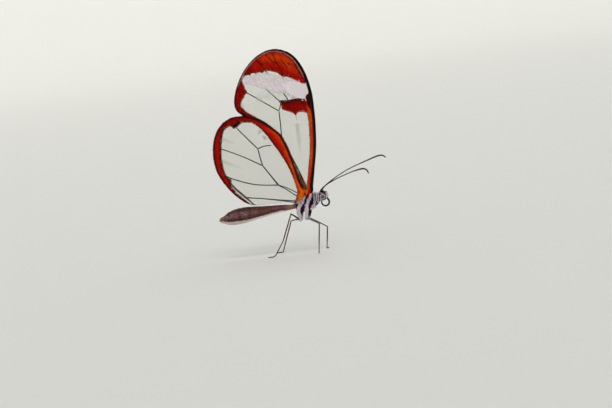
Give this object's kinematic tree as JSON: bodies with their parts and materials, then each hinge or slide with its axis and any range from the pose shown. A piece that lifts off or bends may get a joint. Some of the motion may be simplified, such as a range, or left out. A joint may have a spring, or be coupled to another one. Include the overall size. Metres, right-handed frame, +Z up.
{
  "type": "glasswing butterfly",
  "caption": "Still, life-size glasswing butterfly standing on its walking legs with clear, red-bordered wings closed above its back.",
  "frame": {"origin": "on the floor under the middle of the whole butterfly's box", "axes": "+X towards the head, +Y to the animal's left, +Z up"},
  "size_m": [0.0324, 0.0138, 0.0389],
  "materials": {
    "wing": "clear membrane with red-orange scaled borders and dark edges",
    "hair": "striped pale lilac and dark scale hair",
    "abdomen": "dark maroon scales above, pale grey below",
    "eye": "faceted glossy compound eye",
    "leg": "dark scaled leg with pale underside",
    "feeler": "dark ringed horn"
  },
  "bodies": {
    "root": {"head": "hair", "collar": "hair", "thorax": "hair", "abdomen": "abdomen", "eye_left": "eye", "eye_right": "eye", "palp_left": "hair", "palp_right": "hair", "proboscis": "feeler", "antenna_left": "feeler", "antenna_right": "feeler", "forewing_left": "wing", "forewing_right": "wing", "hindwing_left": "wing", "hindwing_right": "wing", "fore_leg_left": "leg", "fore_leg_right": "leg", "mid_leg_left": "leg", "mid_leg_right": "leg", "hind_leg_left": "leg", "hind_leg_right": "leg"}
  },
  "joints": []
}
